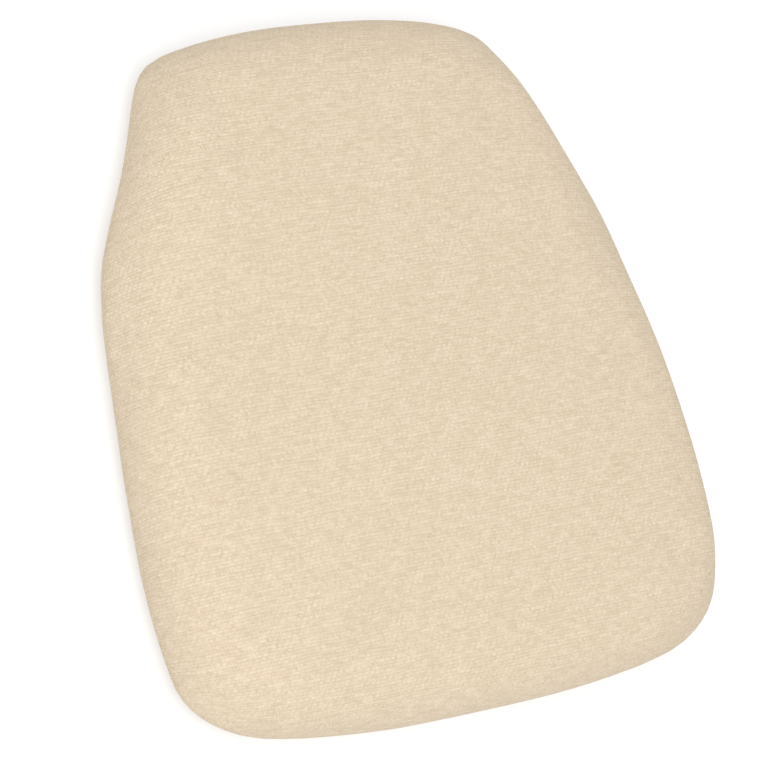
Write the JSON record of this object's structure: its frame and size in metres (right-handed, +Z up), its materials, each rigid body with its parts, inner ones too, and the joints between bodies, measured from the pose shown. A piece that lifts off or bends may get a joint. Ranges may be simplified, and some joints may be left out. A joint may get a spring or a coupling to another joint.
{
  "type": "chair seat pad",
  "caption": "Upholstered seat pad with a hard base, a woven beige cover and a rolled top edge, narrowing at the back between a chair's back posts.",
  "frame": {"origin": "middle of the pad's length and width, at the lower face of the hook strips it rests on", "axes": "+Y towards the narrow back edge, -Y towards the wide front edge, +X to the right as seen from the front, +Z up through the crowned top"},
  "size_m": [0.39, 0.408, 0.05],
  "materials": {
    "cover_fabric": "matte",
    "white_fibre": "matte",
    "foam": "matte",
    "plywood": "matte",
    "black_nonwoven": "matte",
    "hook_tape": "matte",
    "staple_steel": "satin"
  },
  "bodies": {
    "root": {"fabric_cover": "cover_fabric", "fibre_wrap": "white_fibre", "foam_core": "foam", "base_board": "plywood", "dust_cover": "black_nonwoven", "hook_strip_front_left": "hook_tape", "hook_strip_front_right": "hook_tape", "hook_strip_back_left": "hook_tape", "hook_strip_back_right": "hook_tape", "cover_staple_01": "staple_steel", "cover_staple_02": "staple_steel", "cover_staple_03": "staple_steel", "cover_staple_04": "staple_steel", "cover_staple_05": "staple_steel", "cover_staple_06": "staple_steel", "cover_staple_07": "staple_steel", "cover_staple_08": "staple_steel", "cover_staple_09": "staple_steel", "cover_staple_10": "staple_steel", "cover_staple_11": "staple_steel", "cover_staple_12": "staple_steel", "cover_staple_13": "staple_steel", "cover_staple_14": "staple_steel", "cover_staple_15": "staple_steel", "cover_staple_16": "staple_steel", "cover_staple_17": "staple_steel", "cover_staple_18": "staple_steel", "cover_staple_19": "staple_steel", "cover_staple_20": "staple_steel", "cover_staple_21": "staple_steel", "cover_staple_22": "staple_steel", "cover_staple_23": "staple_steel", "cover_staple_24": "staple_steel", "cover_staple_25": "staple_steel", "cover_staple_26": "staple_steel", "cover_staple_27": "staple_steel", "cover_staple_28": "staple_steel", "cover_staple_29": "staple_steel", "cover_staple_30": "staple_steel", "dust_staple_01": "staple_steel", "dust_staple_02": "staple_steel", "dust_staple_03": "staple_steel", "dust_staple_04": "staple_steel", "dust_staple_05": "staple_steel", "dust_staple_06": "staple_steel", "dust_staple_07": "staple_steel", "dust_staple_08": "staple_steel", "dust_staple_09": "staple_steel", "dust_staple_10": "staple_steel", "dust_staple_11": "staple_steel", "dust_staple_12": "staple_steel", "dust_staple_13": "staple_steel", "dust_staple_14": "staple_steel", "dust_staple_15": "staple_steel", "dust_staple_16": "staple_steel", "dust_staple_17": "staple_steel", "dust_staple_18": "staple_steel", "dust_staple_19": "staple_steel", "dust_staple_20": "staple_steel"}
  },
  "joints": []
}
